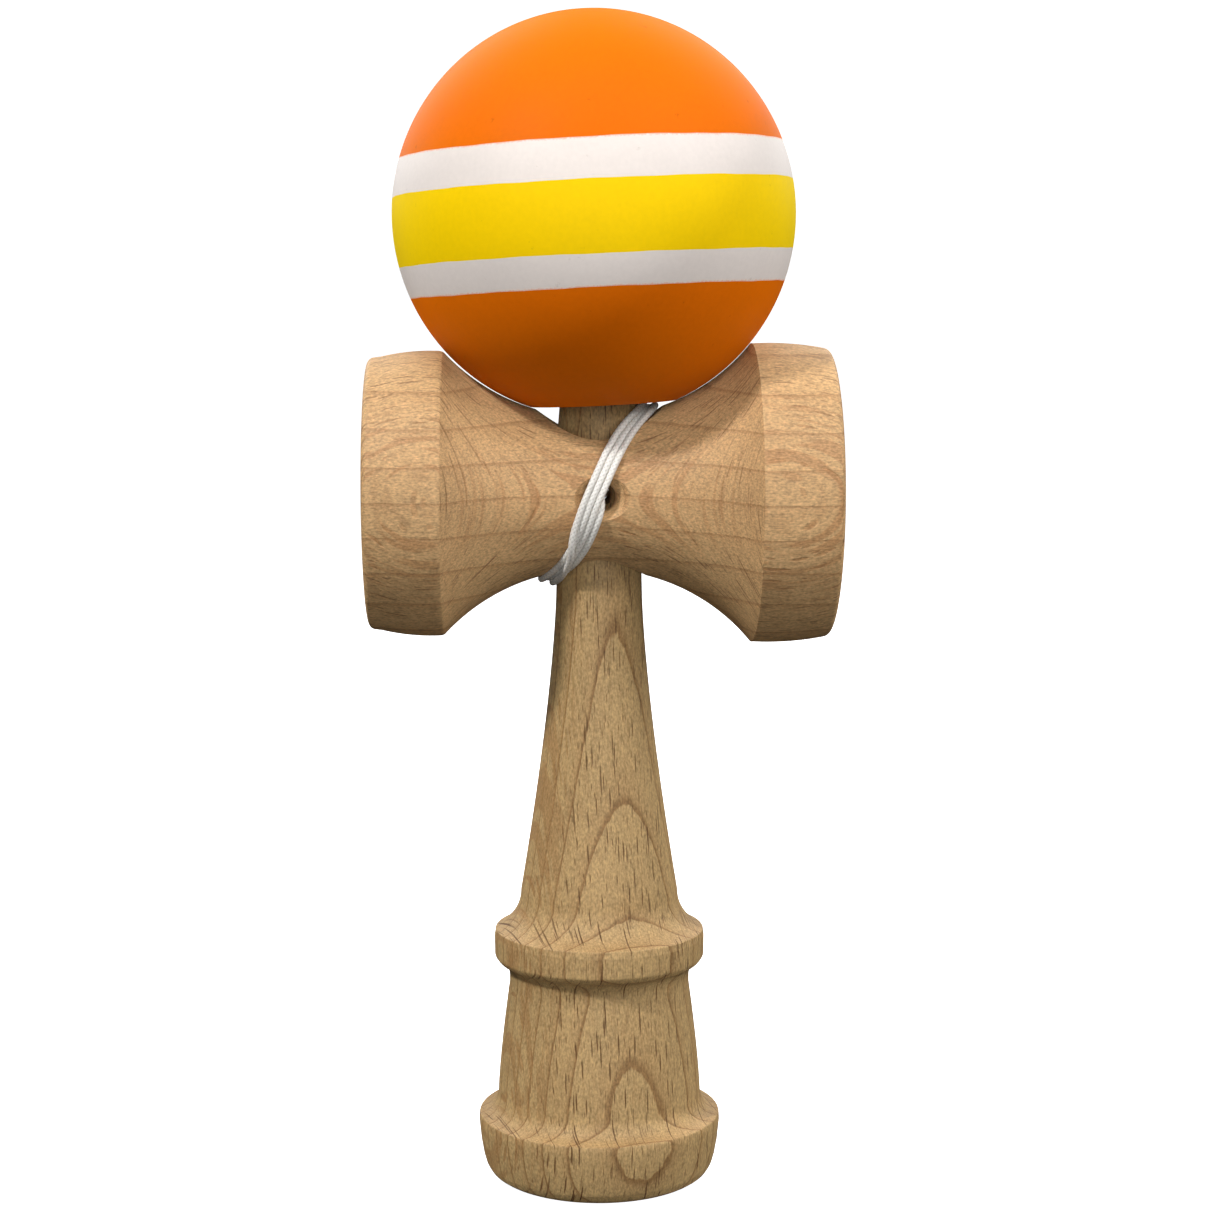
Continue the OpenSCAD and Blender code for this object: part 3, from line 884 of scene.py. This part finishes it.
def paint_material(name, colour, bleed, seed, shine):
    """Matt, slightly rubbery paint, with faint smudges and a bleed from the next colour."""
    n = Nodes(name)
    place = n.vector("ADD", n.position(), (seed, seed, seed))
    cloud, grain = n.noise(place, 0.09, 3), n.noise(place, 1.4, 3)
    peel, speck = n.noise(place, 2.2, 2), n.noise(place, 0.55, 5, 0.62)
    tone = n.math("ADD", n.around(cloud, 0.05), n.around(grain, 0.05))
    shade = n.scale(colour, n.math("ADD", tone, 1))
    dirt = n.math("MULTIPLY", n.step(speck, 0.66, 0.78), 0.35)
    shade = n.mix(dirt, shade, (0.30, 0.24, 0.16), blend="MULTIPLY")
    if bleed:
        ragged = n.math("ADD", n.value("edge"), n.around(n.noise(place, 3.2, 3), 0.32))
        shade = n.mix(n.step(ragged, -0.02, 0.3, 0.75, 0), shade, bleed)
    n.shader.inputs["Specular IOR Level"].default_value = shine
    n.shader.inputs["Diffuse Roughness"].default_value = 0.7
    return n.finish(shade, n.math("MULTIPLY_ADD", grain, 0.1, 0.5), peel, 0.012, 0.6)


def core_outline():
    """(radius, height) points of the wooden ball, starting on its widest line."""
    core_r = BALL_R - PAINT_T
    flat_r = math.sqrt(core_r ** 2 - MOUTH_U ** 2)
    funnel_top = math.sqrt(core_r ** 2 - FUNNEL[0] ** 2)
    low_angle = math.degrees(math.atan2(MOUTH_U, flat_r))
    high_angle = math.degrees(math.atan2(funnel_top, FUNNEL[0]))
    lower = arc((0, 0), core_r, 0, low_angle, 40)
    seat_low, seat_high = BEAD_SEAT_U
    hollow = [(MOUTH_R, MOUTH_U), (SPIKE_HOLE_R, MOUTH_U + MOUTH_R - SPIKE_HOLE_R),
              (SPIKE_HOLE_R, 0), (BEAD_SEAT_R, seat_low), (BEAD_SEAT_R, seat_high),
              (TOP_HOLE_R, seat_high), (TOP_HOLE_R, FUNNEL[1])]
    upper = arc((0, 0), core_r, high_angle, 1, 50)
    return lower + hollow + upper


def make_ball():
    """The bored wooden ball and its five coats of paint."""
    points, faces = turned(divided(eased(core_outline(), 0.3), 1.5), 192)
    core = mesh_piece("ball_wood", on_ball(points), [face[::-1] for face in faces])
    axes = ((0.6, 0.8, 0), (0.8, -0.6, 0), (0, 0, 1))
    wood = wood_material("ball_wood", axes, 0, 3.4, 21.9, SARADO_WOOD)
    dress(core, wood, "ball_wood", "ball", "ball_core")
    orange, white, yellow = (0.79, 0.168, 0.001), (0.80, 0.735, 0.69), (0.93, 0.655, 0.002)
    pink = (0.86, 0.42, 0.26)
    coats = [
        ("orange_top", orange, None, "orange_paint", 3, None),
        ("white_upper", white, pink, "white_paint", 2, 3),
        ("yellow_band", yellow, None, "yellow_paint", 1, 2),
        ("white_lower", white, pink, "white_paint", 0, 1),
        ("orange_bottom", orange, None, "orange_paint", None, 0)]
    for i, (name, colour, bleed, slot, low_edge, high_edge) in enumerate(coats):
        shine = 0.35 if colour is white else 0.05
        material = paint_material(name, colour, bleed, 7 * i + 2, shine)
        make_coat("coat_" + name, "paint_" + name, slot, material, low_edge, high_edge)


# ---------------------------------------------------------------- studio

# The floor glows white enough to have no horizon, but lights nothing
FLOOR_GLOW = 1


def make_floor():
    """Plain pale round floor that sweeps up into a backdrop on every side."""
    flat, bend, top = 1.4, 0.5, 2.6
    outline = [(0, 0), *arc((flat, bend), bend, -90, 0, 24), (flat + bend, top)]
    points, faces = turned(outline, 96)
    floor = mesh_piece("floor", points / MM, faces, crease=60)
    n = Nodes("floor")
    cloud = n.noise(n.position(), 0.01, 2)
    colour = n.mix(cloud, (0.80, 0.80, 0.80), (0.84, 0.84, 0.83))
    n.shader.inputs["Emission Color"].default_value = (1, 1, 1, 1)
    n.shader.inputs["Emission Strength"].default_value = FLOOR_GLOW
    floor.data.materials.append(n.finish(colour, 0.8, cloud, 0.1, 0.1))
    floor.visible_diffuse = False
    floor.visible_glossy = False
    floor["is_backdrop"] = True


# Lights: name, direction round the object from the camera's side, height angle,
# distance, size and power
TARGET = (0, 0, 0.1085)
LIGHTS = [
    ("key", -48, 43, 0.80, 0.07, 4.65),
    ("fill_right", 50, 38, 0.90, 0.60, 5.1),
    ("side_right", 85, 20, 0.90, 0.50, 1.0),
    ("front", 0, 5, 0.90, 0.60, 3.0),
    ("top_front", 0, 62, 0.90, 0.30, 1.3),
    ("top", 0, 80, 0.90, 0.80, 1.8),
    ("back_left", -145, 32, 0.90, 0.70, 4.2),
    ("back_right", 145, 32, 0.90, 0.70, 3.6)]
SKY = 0.01
GROUND = 0.045


def make_light(name, azimuth, height, distance, size, power):
    """Square soft light, aimed at the middle of the object."""
    data = bpy.data.lights.new(name, "AREA")
    data.size = size
    data.energy = power
    light = bpy.data.objects.new(name, data)
    bpy.context.scene.collection.objects.link(light)
    a, e = math.radians(azimuth), math.radians(height)
    back = np.array([math.sin(a) * math.cos(e), -math.cos(a) * math.cos(e), math.sin(e)])
    light.location = np.array(TARGET) + back * distance
    light.rotation_mode = "QUATERNION"
    light.rotation_quaternion = Vector(-back).to_track_quat("-Z", "Y")


def make_world():
    """Faint light from all round, a little stronger from below, as off a pale floor."""
    world = bpy.data.worlds.new("world")
    world.use_nodes = True
    tree = world.node_tree
    background = tree.nodes["Background"]
    place = tree.nodes.new("ShaderNodeTexCoord")
    split = tree.nodes.new("ShaderNodeSeparateXYZ")
    ramp = tree.nodes.new("ShaderNodeMapRange")
    ramp.inputs["From Min"].default_value = -0.6
    ramp.inputs["From Max"].default_value = 0.9
    ramp.inputs["To Min"].default_value = GROUND
    ramp.inputs["To Max"].default_value = SKY
    tree.links.new(place.outputs["Generated"], split.inputs[0])
    tree.links.new(split.outputs["Z"], ramp.inputs["Value"])
    tree.links.new(ramp.outputs[0], background.inputs["Strength"])
    bpy.context.scene.world = world


make_camera()
make_string()
make_ken()
make_sarado()
make_ball()
make_floor()
make_world()
for light in LIGHTS:
    make_light(*light)
bpy.context.scene.view_settings.view_transform = "Standard"

boxes = {"cad": cad_box, "visual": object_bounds()}
{key: [list(c) for c in box] for key, box in boxes.items()}
